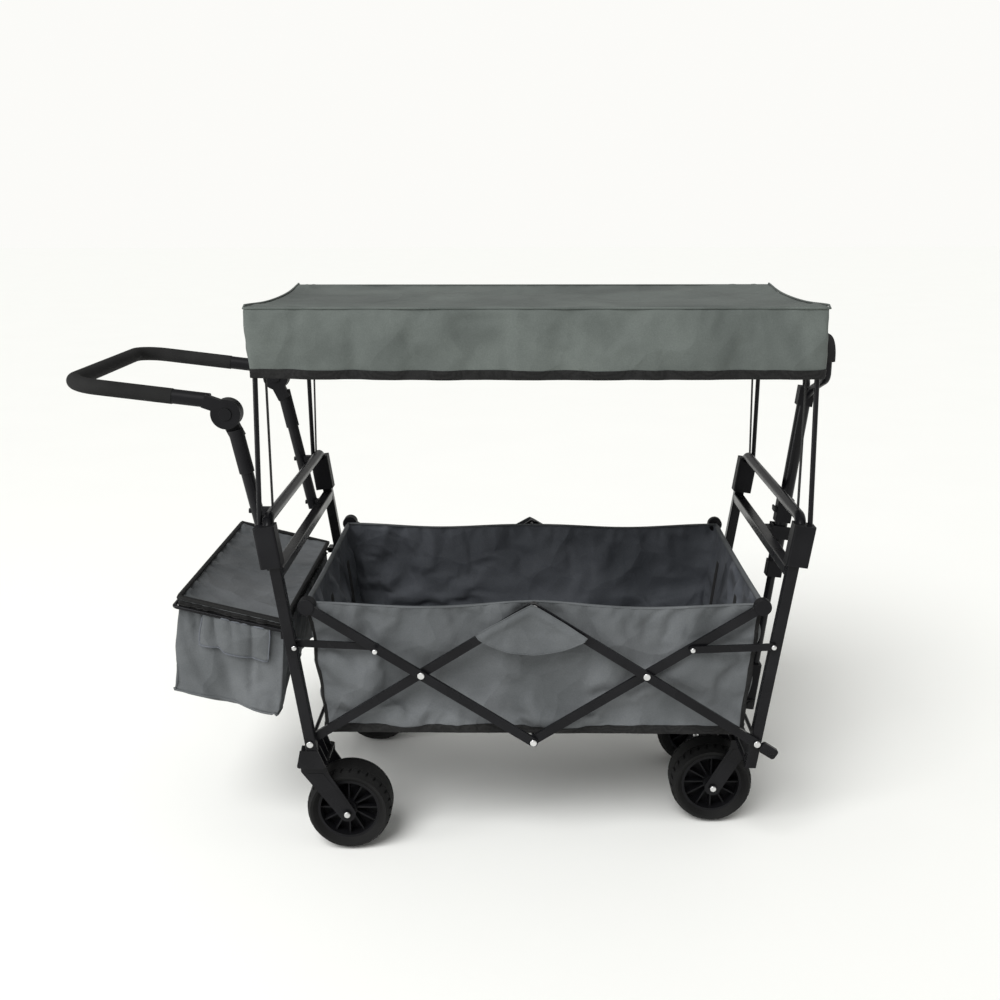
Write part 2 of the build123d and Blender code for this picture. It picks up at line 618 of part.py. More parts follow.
def on_pull(along, out=0.0, y=0.0):
    """Point on the pull handle: along its axis from the yoke pin, and outward of it."""
    x, z = yoke_pin()
    lean = radians(PULL_LEAN)
    return (x + along * sin(lean) + out * cos(lean), y, z + along * cos(lean) - out * sin(lean))


def pull_block(start, stop, width, depth, out=0.0, edge=3.0):
    return bar(on_pull(start, out), on_pull(stop, out), width, depth, edge=edge)


def pull_loop_points():
    """Loop's centre line, from one side of the top collar over the hand grip to the other."""
    right = [(SLEEVE_TO + 10, 0.0, -9.0), (SLEEVE_TO + 34, 6.0, -30.0)]
    right += [(LOOP_FROM, LOOP_OUT_LOW, -LOOP_HALF), (LOOP_TO, LOOP_OUT_TOP, -LOOP_HALF)]
    left = [(along, out, -y) for along, out, y in reversed(right)]
    return [on_pull(*point) for point in right + left]


def pull_grip(loop):
    """Hand grip over the loop's top and the upper part of its sides."""
    drop = 40.0
    out = LOOP_OUT_TOP + drop * (LOOP_OUT_LOW - LOOP_OUT_TOP) / (LOOP_TO - LOOP_FROM)
    sides = [(LOOP_TO - drop, out), (LOOP_TO, LOOP_OUT_TOP)]
    points = [on_pull(along, outward, -LOOP_HALF) for along, outward in sides]
    points += [on_pull(along, outward, LOOP_HALF) for along, outward in reversed(sides)]
    return pipe(points, LOOP_BEND, PULL_GRIP_R) - loop


def pull_handle():
    """Telescopic handle on the yoke: foot, inner stem, sliding sleeve, collars and hand loop."""
    foot = pull_block(-14, 92, 33.0, 26.0, edge=5.0)
    foot -= rod(on_pull(30), on_pull(200), STEM_R)
    keep("pull_foot", foot - y_rod(*yoke_pin(), -40, 40, PULL_PIN_R + RUN))
    keep("pull_stem", round_tube(on_pull(30), on_pull(STEM_TOP), STEM_R, LEG_WALL))
    sleeve = rod(on_pull(SLEEVE_FROM), on_pull(SLEEVE_TO), SLEEVE_R)
    keep("pull_sleeve", sleeve - rod(on_pull(SLEEVE_FROM - 1), on_pull(SLEEVE_TO + 1), STEM_R + SLEEVE_RUN))
    core = rod(on_pull(SLEEVE_FROM - 5), on_pull(SLEEVE_TO), SLEEVE_R)
    bore = rod(on_pull(LATCH_AT), on_pull(LATCH_AT, -60), KNOB_R + RUN)
    loop = pipe(pull_loop_points(), [14.0, 20.0, LOOP_BEND, LOOP_BEND, 20.0, 14.0], LOOP_R)
    keep("pull_collars", pull_block(SLEEVE_FROM, SLEEVE_FROM + 34, COLLAR_Y, COLLAR_X, 2.0) - core)
    keep("pull_collars", pull_block(LATCH_AT - 26, LATCH_AT + 26, COLLAR_Y, COLLAR_X) - core - bore)
    keep("pull_collars", pull_block(SLEEVE_TO - 8, SLEEVE_TO + 32, 34.0, 32.0) - core - loop)
    keep("pull_loop", loop)
    keep("pull_grip", pull_grip(loop))
    face = COLLAR_X / 2
    knob = rod(on_pull(LATCH_AT, -SLEEVE_R - 0.4), on_pull(LATCH_AT, -face - 6), KNOB_R)
    ends = [on_pull(LATCH_AT, -face - 3.8, y) for y in (-13, 13)]
    keep("latch_knob", knob + bar(*ends, 4.5, 12.0, across=(1, 0, 0), edge=1.5))


def handle_clip():
    """Clip on the front lower bar that holds the upright pull handle, open outward."""
    at = (LOWER_BAR_Z - yoke_pin()[1]) / cos(radians(PULL_LEAN))
    mouth = SLEEVE_R + 2
    clip = pull_block(at - 14, at + 14, 2 * mouth + 12, 38.0, -1.0, edge=0)
    clip -= pull_block(at - 20, at + 20, 2 * mouth, 60.0, 12.5, edge=0)
    face = leg_x(1, LOWER_BAR_Z) + LEG_SIZE / 2
    back = Box(on_pull(at, -18)[0] - face, 2 * mouth + 12, 20, align=(Align.MIN, Align.CENTER, Align.CENTER))
    keep("handle_clip", clip + Pos(face, 0, LOWER_BAR_Z) * back)


# ---------------------------------------------------------------- fabric parts
def taper(foot, top, z0, z1, inset=0.0):
    """Block between two centred rectangles, given as (half X, half Y)."""
    ends = [
        Pos(0, 0, z) * Rectangle(2 * (half[0] - inset), 2 * (half[1] - inset))
        for half, z in ((foot, z0), (top, z1))
    ]
    return loft(ends)


def tub_and_canopy():
    foot, top = (TUB_FOOT_X, TUB_FOOT_Y), (TUB_TOP_X, TUB_Y)
    tub = taper(foot, top, TUB_FOOT_Z, TUB_TOP_Z)
    keep("tub", tub - taper(foot, top, TUB_FOOT_Z + CLOTH, TUB_TOP_Z + 1, CLOTH))
    inset = 2 * (CLOTH + MAT_GAP)
    size = (2 * TUB_FOOT_X - inset, 2 * TUB_FOOT_Y - inset, MAT_T)
    mat = Box(*size, align=(Align.CENTER, Align.CENTER, Align.MIN))
    mat = fillet(mat.edges().filter_by(Axis.Z), 20)
    keep("floor_mat", Pos(0, 0, TUB_FOOT_Z + CLOTH) * mat)
    hem, roof = (CANOPY_HEM_X, CANOPY_Y), (CANOPY_TOP_X, CANOPY_Y)
    hood = taper(hem, roof, CANOPY_HEM_Z, CANOPY_TOP_Z)
    keep("canopy", hood - taper(hem, roof, CANOPY_HEM_Z - 1, CANOPY_TOP_Z - CLOTH, CLOTH))


def straps(end):
    """Webbing from inside the canopy's hem down to the upper cross bar."""
    x = leg_x(end, UPPER_BAR_Z)
    low_z = UPPER_BAR_Z + UPPER_BAR_R + STRAP_T
    for side in (-1, 1):
        low = (x, side * STRAP_FOOT_Y, low_z)
        high = (end * (CANOPY_HEM_X - 28), side * STRAP_TOP_Y, CANOPY_HEM_Z + 45)
        keep(f"{end_name(end)}_straps", bar(low, high, STRAP_W, STRAP_T))


def flaps():
    """Cloth flaps over the linkage's top middle joints."""
    top = PIN_Z + LINK_RISE
    outline = [(0, top + 7), (-110, top - 57), (-60, top - 83), (0, top - 92), (60, top - 83), (106, top - 63)]
    y = PIN_FACE + HEAD_T + FLAP_GAP
    for side in (-1, 1):
        keep("flaps", slab(outline, side * y, side * (y + FLAP_T)))


def bag_corners(inset=0.0):
    """Outline of the slanted bag in X and Z: inner top, outer top, outer foot, inner foot."""
    x, z = BAG_TOP
    slant = radians(BAG_SLANT)
    down = (-BAG_DEPTH * sin(slant), -BAG_DEPTH * cos(slant))
    inner, outer = (x - inset, z), (x - BAG_SPAN + inset, z + BAG_RISE)
    foot = (down[0], down[1] + inset)
    return [inner, outer, (outer[0] + foot[0], outer[1] + foot[1]), (inner[0] + foot[0], inner[1] + foot[1])]


def bag():
    """Open bag behind the rear legs, its hoop and the lid hinged on its inner edge."""
    inside = bag_corners(CLOTH)
    inside[0] = (inside[0][0] + 0.15, inside[0][1] + 1)
    inside[1] = (inside[1][0] + 0.15, inside[1][1] + 1)
    keep("bag", slab(bag_corners(), -BAG_Y, BAG_Y) - slab(inside, -BAG_Y + CLOTH, BAG_Y - CLOTH))
    inner, outer = bag_corners()[:2]
    tilt = atan2(BAG_RISE, BAG_SPAN)
    up = LID_GAP + LID_T / 2
    start, stop = [(x + up * sin(tilt), 0, z + up * cos(tilt)) for x, z in (inner, outer)]
    keep("bag_lid", bar(start, stop, 2 * BAG_Y, LID_T, edge=2.0))
    y = BAG_Y + HOOP_R + 2
    near = (inner[0] + 4, inner[1] - HOOP_DROP)
    far = (outer[0] - HOOP_R - 5, outer[1] - HOOP_DROP + 2)
    hoop = [(near[0], -y, near[1]), (far[0], -y, far[1]), (far[0], y, far[1]), (near[0], y, near[1])]
    ring = pipe(hoop, 8.0, HOOP_R)
    keep("bag_hoop", ring)
    leg_face = LEG_Y[-1] - LEG_SIZE / 2
    for side in (-1, 1):
        tab = Pos(near[0] + 6, side * (BAG_Y + 2 + leg_face) / 2, near[1]) * Box(20, leg_face - BAG_Y - 2, 12)
        keep("bag_hoop", tab - ring)


def build():
    linkage()
    for end in (-1, 1):
        end_frame(end)
        straps(end)
        for side in (-1, 1):
            short_link(end, side)
    for side in (-1, 1):
        caster_foot(side)
    front_yoke()
    wheels()
    push_handle()
    pull_handle()
    handle_clip()
    tub_and_canopy()
    flaps()
    bag()


def write():
    """Move everything to the box's centre over the floor, and write one file per node."""
    rear = min(solid.bounding_box().min.X for solid in PIECES["push_handle_grip"])
    front = max(solid.bounding_box().max.X for solid in PIECES["pull_grip"])
    centre = Pos(-(rear + front) / 2, 0, 0)
    os.makedirs("parts", exist_ok=True)
    for node, solids in PIECES.items():
        placed = [centre * solid for solid in solids]
        export_step(placed[0] if len(placed) == 1 else Compound(children=placed), f"parts/{node}.step")
    print(len(PIECES), "nodes; origin is", round((rear + front) / 2, 3), "mm from the linkage's middle")


build()
write()
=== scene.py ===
import json
from math import atan2, cos, exp, pi, radians, sin, tau

import bpy
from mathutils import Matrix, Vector, noise


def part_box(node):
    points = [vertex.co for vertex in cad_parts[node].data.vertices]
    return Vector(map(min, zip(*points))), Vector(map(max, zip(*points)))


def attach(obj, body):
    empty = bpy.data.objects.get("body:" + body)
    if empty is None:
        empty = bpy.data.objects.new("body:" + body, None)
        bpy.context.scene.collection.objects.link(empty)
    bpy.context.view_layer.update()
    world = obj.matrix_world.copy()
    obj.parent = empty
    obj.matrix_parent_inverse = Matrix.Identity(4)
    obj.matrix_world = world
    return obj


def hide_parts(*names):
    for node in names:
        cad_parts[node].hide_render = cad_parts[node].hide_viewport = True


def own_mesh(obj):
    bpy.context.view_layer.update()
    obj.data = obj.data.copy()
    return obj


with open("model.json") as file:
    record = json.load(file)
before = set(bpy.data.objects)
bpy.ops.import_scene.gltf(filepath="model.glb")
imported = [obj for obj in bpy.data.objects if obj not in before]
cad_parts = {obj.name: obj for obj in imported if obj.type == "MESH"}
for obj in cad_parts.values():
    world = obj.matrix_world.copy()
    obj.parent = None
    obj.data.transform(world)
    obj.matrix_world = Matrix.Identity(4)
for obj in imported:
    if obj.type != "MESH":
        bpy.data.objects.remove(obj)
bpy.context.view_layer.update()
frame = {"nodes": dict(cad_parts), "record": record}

# Folding wagon: +X is the pull end, -Y the near side. Lengths below are millimetres from the
# middle of the scissor linkage, which is where the middle floor rod lies.
MM = 0.001
ROD_LOW, ROD_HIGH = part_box("floor_rod_middle")
SHIFT = (ROD_LOW[0] + ROD_HIGH[0]) / 2

TUB_TOP_X, TUB_FOOT_X = 450.0, 421.0     # half lengths at the rim and at the floor
TUB_TOP_Y, TUB_FOOT_Y = 300.0, 294.0     # half widths at the rim and at the floor
TUB_TOP_Z, TUB_FOOT_Z = 541.0, 262.0
TUB_BULGE = 5.5                          # most a side wall swells past the rim
CANOPY_X, CANOPY_Y = 546.0, 298.0        # half length and half width
CANOPY_TOP, CANOPY_HEM = 1117.0, 985.0
BAG_IN, BAG_OUT = (-500.0, 490.0), (-708.0, 540.0)       # x, z of the bag rim's two sides
BAG_DOWN = (-27.0, -182.0)               # x, z step from the rim to the bag's floor
BAG_Y = 285.0                            # half width
LINK_PINS = ((470.0, 460.0), (312.0, 453.2))     # x, z of a short link's leg pin and bar pin
ROLL_Y, ROLL_STEP = 292, 16              # half width of the end rolls, and their points' spacing
STRAP_Y, STRAP_W = 120.0, 32.0           # seat straps
STRAP_TOP_X, STRAP_TOP_Z = 428.0, 500.0
STRAP_DROP, STRAP_LEAN = 222.0, 27.0     # how far they come down and in
STRAP_TURN = 0.75                        # share of a strap that hangs, before it turns inward
TAPE_T, BINDING_T = 1.6, 1.4
EDGE = 0.999                             # a grid coordinate past this is on the plate's edge
FRAME = "rear_frame"                     # the body that the cloth rides on
END = {-1: "rear", 1: "front"}
SIDE = {-1: "near", 1: "far"}


FLOOR = "floor"
FLOOR_HALF = 30.0                        # metres
WORLD_LIGHT, WORLD_SEEN = 0.45, 0.97     # what the world gives to the wagon and to the camera
LENS, SENSOR = 44.14, 36.0
CAMERA_AT = (-23.8, -2596.3, 1321.3)
CAMERA_PITCH, CAMERA_ROLL, CAMERA_TURN = -13.97, 0.11, 1.04      # degrees


def sign(value):
    return 1 if value > 0 else -1


def place(x, y, z):
    """Millimetres from the linkage's middle to metres in the row frame."""
    return Vector((x * MM + SHIFT, y * MM, z * MM))


# ---------------------------------------------------------------- materials
def new_material(name, rough, metallic=0.0, sheen=0.0, coat=0.0, specular=0.5):
    material = bpy.data.materials.new(name)
    material.use_nodes = True
    shader = material.node_tree.nodes["Principled BSDF"]
    shader.inputs["Metallic"].default_value = metallic
    shader.inputs["Roughness"].default_value = rough
    shader.inputs["Specular IOR Level"].default_value = specular
    shader.inputs["Sheen Weight"].default_value = sheen
    shader.inputs["Sheen Roughness"].default_value = 0.5
    shader.inputs["Coat Weight"].default_value = coat
    shader.inputs["Coat Roughness"].default_value = 0.25
    return material, shader


def add(tree, kind, inputs=(), **settings):
    node = tree.nodes.new(kind)
    for key, value in settings.items():
        setattr(node, key, value)
    for key, value in dict(inputs).items():
        if isinstance(value, bpy.types.NodeSocket):
            tree.links.new(value, node.inputs[key])
        else:
            node.inputs[key].default_value = value
    return node


def noise_node(tree, coord, scale, detail=4.0, distortion=0.0):
    inputs = {"Vector": coord, "Scale": scale, "Detail": detail, "Distortion": distortion}
    return add(tree, "ShaderNodeTexNoise", inputs).outputs["Fac"]


def ramp(tree, factor, stops):
    node = add(tree, "ShaderNodeValToRGB", {"Fac": factor})
    elements = node.color_ramp.elements
    while len(elements) < len(stops):
        elements.new(0.5)
    for element, (at, colour) in zip(elements, stops):
        element.position = at
        element.color = (*colour, 1.0)
    return node.outputs["Color"]


def mix(tree, factor, a, b, how="MIX"):
    node = add(tree, "ShaderNodeMix", data_type="RGBA", blend_type=how)
    for index, value in ((0, factor), (6, a), (7, b)):
        if isinstance(value, bpy.types.NodeSocket):
            tree.links.new(value, node.inputs[index])
        else:
            node.inputs[index].default_value = value if index == 0 else (*value, 1.0)
    return node.outputs[2]


def calc(tree, how, a, b):
    return add(tree, "ShaderNodeMath", {0: a, 1: b}, operation=how).outputs[0]


def bump(tree, shader, heights):
    """Chain of (height socket, strength, distance) bumps into the shader's normal."""
    normal = None
    for height, strength, distance in heights:
        inputs = {"Height": height, "Strength": strength, "Distance": distance}
        if normal:
            inputs["Normal"] = normal
        normal = add(tree, "ShaderNodeBump", inputs).outputs["Normal"]
    tree.links.new(normal, shader.inputs["Normal"])


def weave(tree, coord, scale):
    """Threads crossing along the three axes."""
    total = None
    for direction in ("X", "Y", "Z"):
        inputs = {"Vector": coord, "Scale": scale, "Distortion": 0.3, "Detail": 1.0}
        wave = add(tree, "ShaderNodeTexWave", inputs, bands_direction=direction).outputs["Fac"]
        total = wave if total is None else calc(tree, "ADD", total, wave)
    return total


def cloth_material(name, low, high, rough=0.74, sheen=0.04, crease=0.8):
    """Coated woven cloth: fine weave, soft stains, and creases that catch the light."""
    material, shader = new_material(name, rough, sheen=sheen, specular=0.3)
    tree = material.node_tree
    coord = add(tree, "ShaderNodeTexCoord").outputs["Object"]
    broad = noise_node(tree, coord, 5.0, 5.0, 0.6)
    fine = noise_node(tree, coord, 420.0, 3.0)
    threads = weave(tree, coord, 150.0)
    base = ramp(tree, broad, ((0.3, low), (0.72, high)))
    speck = ramp(tree, fine, ((0.3, (0.8, 0.8, 0.8)), (0.7, (1.12, 1.12, 1.12))))
    base = mix(tree, 0.55, base, speck, "MULTIPLY")
    tree.links.new(base, shader.inputs["Base Color"])
    warp = add(tree, "ShaderNodeTexNoise", {"Vector": coord, "Scale": 7.0, "Detail": 2.0})
    shift = {0: warp.outputs["Color"], 1: (0.07, 0.07, 0.07), 2: coord}
    warped = add(tree, "ShaderNodeVectorMath", shift, operation="MULTIPLY_ADD")
    facets = [add(tree, "ShaderNodeTexVoronoi", {"Vector": warped.outputs["Vector"], "Scale": scale},
                  feature="F1").outputs["Distance"] for scale in (6.5, 17.0)]
    spread = {"Value": broad, "To Min": rough - 0.1, "To Max": rough + 0.1}
    rough_value = add(tree, "ShaderNodeMapRange", spread)
    tree.links.new(rough_value.outputs[0], shader.inputs["Roughness"])
    folds = ((facets[0], crease, 0.03), (facets[1], crease * 0.7, 0.009))
    bump(tree, shader, (*folds, (threads, 0.25, 0.0003), (fine, 0.2, 0.0003)))
    return material


def hard_material(name, colour, worn, rough, grain, depth, metallic=0.0, coat=0.0, scratch=0.0):
    """Paint, plastic or metal: clouded colour, rubbed edges and a fine grain."""
    specular = 0.5 if metallic else 0.12
    material, shader = new_material(name, rough, metallic, coat=coat, specular=specular)
    tree = material.node_tree
    coord = add(tree, "ShaderNodeTexCoord").outputs["Object"]
    cloud = noise_node(tree, coord, 14.0, 5.0)
    dust = noise_node(tree, coord, grain, 3.0)
    lighter = tuple(min(1.0, c * 1.5 + 0.002) for c in colour)
    base = ramp(tree, cloud, ((0.35, colour), (0.75, lighter)))
    rounded = add(tree, "ShaderNodeBevel", {"Radius": 0.0012}, samples=4).outputs["Normal"]
    flat = add(tree, "ShaderNodeNewGeometry").outputs["Normal"]
    dot = add(tree, "ShaderNodeVectorMath", {0: rounded, 1: flat}, operation="DOT_PRODUCT")
    bend = calc(tree, "SUBTRACT", 1.0, dot.outputs["Value"])
    edge = ramp(tree, bend, ((0.03, (0, 0, 0)), (0.3, (1, 1, 1))))
    rubbed = calc(tree, "MULTIPLY", edge, dust)
    base = mix(tree, rubbed, base, worn)
    tree.links.new(base, shader.inputs["Base Color"])
    spread = {"Value": cloud, "To Min": rough - 0.08, "To Max": rough + 0.12}
    value = add(tree, "ShaderNodeMapRange", spread)
    tree.links.new(value.outputs[0], shader.inputs["Roughness"])
    heights = [(dust, 0.35, depth)]
    if scratch:
        stretched = add(tree, "ShaderNodeMapping", {"Vector": coord, "Scale": (40.0, 900.0, 40.0)})
        heights.append((noise_node(tree, stretched.outputs[0], 1.0, 2.0), scratch, 0.0002))
    bump(tree, shader, heights)
    return material


def ribbed_material(name, colour, scale, rough):
    """Webbing: close ribs with a darker ground."""
    material, shader = new_material(name, rough, sheen=0.03, specular=0.15)
    tree = material.node_tree
    coord = add(tree, "ShaderNodeTexCoord").outputs["Object"]
    ribs = weave(tree, coord, scale)
    fine = noise_node(tree, coord, 300.0)
    lighter = tuple(c * 2.2 for c in colour)
    base = ramp(tree, calc(tree, "MULTIPLY", ribs, fine), ((0.3, colour), (1.0, lighter)))
    tree.links.new(base, shader.inputs["Base Color"])
    bump(tree, shader, ((ribs, 0.5, 0.0004), (fine, 0.3, 0.0002)))
    return material


MATERIALS = {
    "grey_cloth": cloth_material("grey_cloth", (0.07, 0.076, 0.08), (0.132, 0.14, 0.147)),
    "canopy_cloth": cloth_material(
        "canopy_cloth", (0.072, 0.083, 0.078), (0.125, 0.142, 0.132), crease=0.6
    ),
    "lining": cloth_material("lining", (0.075, 0.082, 0.095), (0.14, 0.15, 0.17)),
    "floor_mat": cloth_material("floor_mat", (0.035, 0.04, 0.044), (0.06, 0.066, 0.072)),
    "binding": ribbed_material("binding", (0.008, 0.008, 0.008), 120.0, 0.8),
    "webbing": ribbed_material("webbing", (0.009, 0.009, 0.009), 90.0, 0.75),
    "tyre": hard_material("tyre", (0.008, 0.008, 0.008), (0.03, 0.03, 0.03), 0.72, 500.0, 0.0004),
    "rim_plastic": hard_material(
        "rim_plastic", (0.006, 0.006, 0.007), (0.04, 0.04, 0.04), 0.42, 700.0, 0.0001
    ),
    "zinc": hard_material(
        "zinc", (0.55, 0.55, 0.55), (0.8, 0.8, 0.8), 0.28, 300.0, 0.0001, 1.0, scratch=0.3
    ),
    "foam_grip": hard_material(
        "foam_grip", (0.014, 0.014, 0.014), (0.03, 0.03, 0.03), 0.85, 1400.0, 0.0004
    ),
    "black_plastic": hard_material(
        "black_plastic", (0.006, 0.006, 0.007), (0.05, 0.05, 0.05), 0.5, 900.0, 0.0001
    ),
    "black_paint": hard_material(
        "black_paint", (0.005, 0.005, 0.006), (0.03, 0.03, 0.03), 0.26, 260.0, 0.00015, coat=0.06
    ),
}


def paint(obj, name):
    obj.data.materials.clear()
    obj.data.materials.append(MATERIALS[name])


for part in frame["record"]["subparts"]:
    rod = part["node"].startswith("floor_rod")
    paint(frame["nodes"][part["node"]], "black_paint" if rod else part["material_slot"])


# ---------------------------------------------------------------- mesh helpers
def make_object(name, vertices, faces, finish, body):
    mesh = bpy.data.meshes.new(name)
    mesh.from_pydata([tuple(v) for v in vertices], [], faces)
    mesh.validate()
    mesh.polygons.foreach_set("use_smooth", [True] * len(mesh.polygons))
    obj = bpy.data.objects.new(name, mesh)
    bpy.context.scene.collection.objects.link(obj)
    obj.data.materials.append(MATERIALS[finish])
    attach(obj, body)
    return obj


def thicken(obj, thickness, levels=1, offset=0.0):
    solid = obj.modifiers.new("thickness", "SOLIDIFY")
    solid.thickness = thickness * MM
    solid.offset = offset
    smooth = obj.modifiers.new("smooth", "SUBSURF")
    smooth.levels = levels
    smooth.render_levels = levels
    return obj


def rim_cells(nx, ny):
    """Grid indices round the edge of an nx by ny grid, in order."""
    ring = [(i, 0) for i in range(nx)] + [(nx, j) for j in range(ny)]
    return ring + [(i, ny) for i in range(nx, 0, -1)] + [(0, j) for j in range(ny, 0, -1)]


def tray(plate, wall, nx, ny, rows):
    """Vertices and faces of a plate with walls all round, and the wall's rows of indices."""
    vertices = [plate(2 * i / nx - 1, 2 * j / ny - 1) for j in range(ny + 1) for i in range(nx + 1)]
    faces = []
    for j in range(ny):
        for i in range(nx):
            a = j * (nx + 1) + i
            faces.append((a, a + 1, a + nx + 2, a + nx + 1))
    ring = rim_cells(nx, ny)
    rings = [[j * (nx + 1) + i for i, j in ring]]
    for row in range(1, rows + 1):
        rings.append(list(range(len(vertices), len(vertices) + len(ring))))
        vertices += [wall(2 * i / nx - 1, 2 * j / ny - 1, row / rows) for i, j in ring]
    for low, high in zip(rings, rings[1:]):
        for k in range(len(ring)):
            n = (k + 1) % len(ring)
            faces.append((low[n], low[k], high[k], high[n]))
    return vertices, faces, rings


def corner_cells(rings, nx, ny):
    """Indices down the four upright edges of a tray."""
    return [ring[k] for ring in rings for k in (0, nx, nx + ny, 2 * nx + ny)]


def grid(point, nu, nv):
    """Vertices and faces of a sheet whose points run over 0 to 1 both ways."""
    vertices = [point(i / nu, j / nv) for j in range(nv + 1) for i in range(nu + 1)]
    wide = nu + 1
    faces = []
    for j in range(nv):
        for i in range(nu):
            a, b = j * wide + i, j * wide + i + 1
            faces.append((a, b, b + wide, a + wide))
    return vertices, faces


def ribbon(name, path, across, width, finish, body):
    """Flat tape along a list of points, its width along the matching across vectors."""
    half = width * MM / 2
    vertices = []
    for point, side in zip(path, across):
        vertices += [point - side * half, point, point + side * half]
    faces = []
    count = len(path)
    for k in range(count - 1):
        a, b = 3 * k, 3 * (k + 1)
        faces += [(a, a + 1, b + 1, b), (a + 1, a + 2, b + 2, b + 1)]
    obj = make_object(name, vertices, faces, finish, body)
    return thicken(obj, TAPE_T)


def tape(name, obj, strips, offset, finish, body, closed=True):
    """Binding laid over rows of a cloth's own vertices, standing offset millimetres off it."""
    mesh = obj.data
    middle = sum((v.co for v in mesh.vertices), Vector()) / len(mesh.vertices)
    vertices = []
    for strip in strips:
        for index in strip:
            vertex = mesh.vertices[index]
            normal = vertex.normal.copy()
            if normal.dot(vertex.co - middle) < 0:
                normal.negate()
            vertices.append(vertex.co + normal * offset * MM)
    count = len(strips[0])
    faces = []
    for row in range(len(strips) - 1):
        for k in range(count if closed else count - 1):
            a, b = row * count + k, row * count + (k + 1) % count
            faces.append((a, b, b + count, a + count))
    return thicken(make_object(name, vertices, faces, finish, body), BINDING_T)


def piping(name, path, radius, finish, body, closed=True):
    """Round cord sewn along a seam, as a tube mesh."""
    count = len(path)
    sides = 8
    vertices, faces = [], []
    for k, point in enumerate(path):
        before = path[k - 1] if closed or k else path[0]
        after = path[(k + 1) % count] if closed or k < count - 1 else path[-1]
        along = (after - before).normalized()
        u = along.orthogonal() if abs(along.z) > 0.9 else along.cross(Vector((0, 0, 1))).normalized()
        v = along.cross(u).normalized()
        for s in range(sides):
            around = u.normalized() * cos(tau * s / sides) + v * sin(tau * s / sides)
            vertices.append(point + around * radius * MM)
    for k in range(count if closed else count - 1):
        n = (k + 1) % count
        for s in range(sides):
            t = (s + 1) % sides
            faces.append((k * sides + s, k * sides + t, n * sides + t, n * sides + s))
    return make_object(name, vertices, faces, finish, body)


def ripple(point, size, seed=0.0):
    """Signed smooth noise at a point in metres; size is the fold's size in millimetres."""
    return noise.noise(point * (1000.0 / size) + Vector((seed, seed * 1.7, -seed)))


def drape(obj, pins, grow, frames=18, cap=9.0, gravity=0.25, bending=0.3):
    """Lets the cloth buckle: it grows a little between its pinned seams.

    A point moves by less than 1.6 times cap millimetres from where it was drawn.
    """
    mesh = obj.data
    rest = [v.co.copy() for v in mesh.vertices]
    group = obj.vertex_groups.new(name="pin")
    group.add(pins, 1.0, "REPLACE")
    cloth = obj.modifiers.new("cloth", "CLOTH")
    settings = cloth.settings
    settings.quality = 6
    settings.mass = 0.15
    settings.tension_stiffness = 20.0
    settings.compression_stiffness = 20.0
    settings.shear_stiffness = 10.0
    settings.bending_stiffness = bending
    settings.vertex_group_mass = "pin"
    settings.shrink_min = -grow
    settings.effector_weights.gravity = gravity
    cloth.collision_settings.use_collision = False
    scene = bpy.context.scene
    for at in range(1, frames + 1):
        scene.frame_set(at)
    shaped = obj.evaluated_get(bpy.context.evaluated_depsgraph_get())
    moved = [v.co.copy() for v in shaped.data.vertices]
    obj.modifiers.remove(cloth)
    scene.frame_set(1)
    for vertex, before, after in zip(mesh.vertices, rest, moved):
        step = after - before
        limit = cap * MM
        if step.length > 1e-9:
            share = limit / (limit + step.length)
            vertex.co = before + step * share * min(1.6, 1 + step.length / limit)
    obj.vertex_groups.remove(group)


def fold_with(obj):
    """Gives a piece its own copy of its mesh."""
    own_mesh(obj)


# ---------------------------------------------------------------- canopy
def corner_pull(u, v):
    """1 near the corners of a panel, falling away from them."""
    return exp(-6.0 * ((1 - abs(u)) ** 2 + (1 - abs(v)) ** 2))


def canopy_top(u, v):
    dip = 9.0 * (1 - u * u) * (1 - v * v) + 4.0 * (1 - v * v) * abs(u) ** 3
    x = u * CANOPY_X * (1 - 0.016 * (1 - v * v) * abs(u) ** 6)
    point = place(x, v * CANOPY_Y, CANOPY_TOP - dip)
    edge = max(abs(u), abs(v))
    point.z += ripple(point, 130.0, 2.0) * 5.0 * MM * (1 - edge ** 6)
    point.z += 5.0 * MM * corner_pull(u, v) * abs(sin(9 * atan2(1 - abs(v), 1 - abs(u) + 1e-6)))
    return point


def canopy_wall(u, v, t):
    rim = canopy_top(u, v)
    z = rim.z + (CANOPY_HEM * MM - rim.z) * t
    swell = 5.0 * sin(pi * t) + 3.0 * t * sin(5 * u + 2 * v)
    x = SHIFT + (rim.x - SHIFT) * (1 - 0.007 * t)
    y = rim.y
    fold = ripple(Vector((x, y, z)), 95.0, 5.0) * 5.0 * (0.35 + 0.65 * t)
    if abs(v) > EDGE:
        y += sign(v) * (swell * 0.6 + fold) * MM
    if abs(u) > EDGE:
        x += sign(u) * (swell * 0.3 + fold * 0.7) * MM
    return Vector((x, y, z - 3.0 * MM * t * (1 - u * u) * (1 if abs(v) > EDGE else 0)))


def canopy():
    nx, ny, rows = 96, 54, 14
    vertices, faces, rings = tray(canopy_top, canopy_wall, nx, ny, rows)
    obj = make_object("canopy_cloth", vertices, faces, "canopy_cloth", FRAME)
    corners = corner_cells(rings, nx, ny)
    drape(obj, rings[0] + rings[-1] + corners, 0.022, frames=22, cap=7.0, gravity=0.15, bending=0.2)
    edge = [obj.data.vertices[k].co.copy() for k in rings[0]]
    thicken(obj, 1.6)
    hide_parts("canopy")
    band = tape("canopy_hem", obj, rings[-3:], 1.6, "binding", FRAME)
    seam = piping("canopy_seam", edge, 2.3, "canopy_cloth", FRAME)
    for piece in (obj, band, seam):
        fold_with(piece)


# ---------------------------------------------------------------- tub
def tub_floor(u, v):
    return place(u * TUB_FOOT_X, v * TUB_FOOT_Y, TUB_FOOT_Z + 1.0)


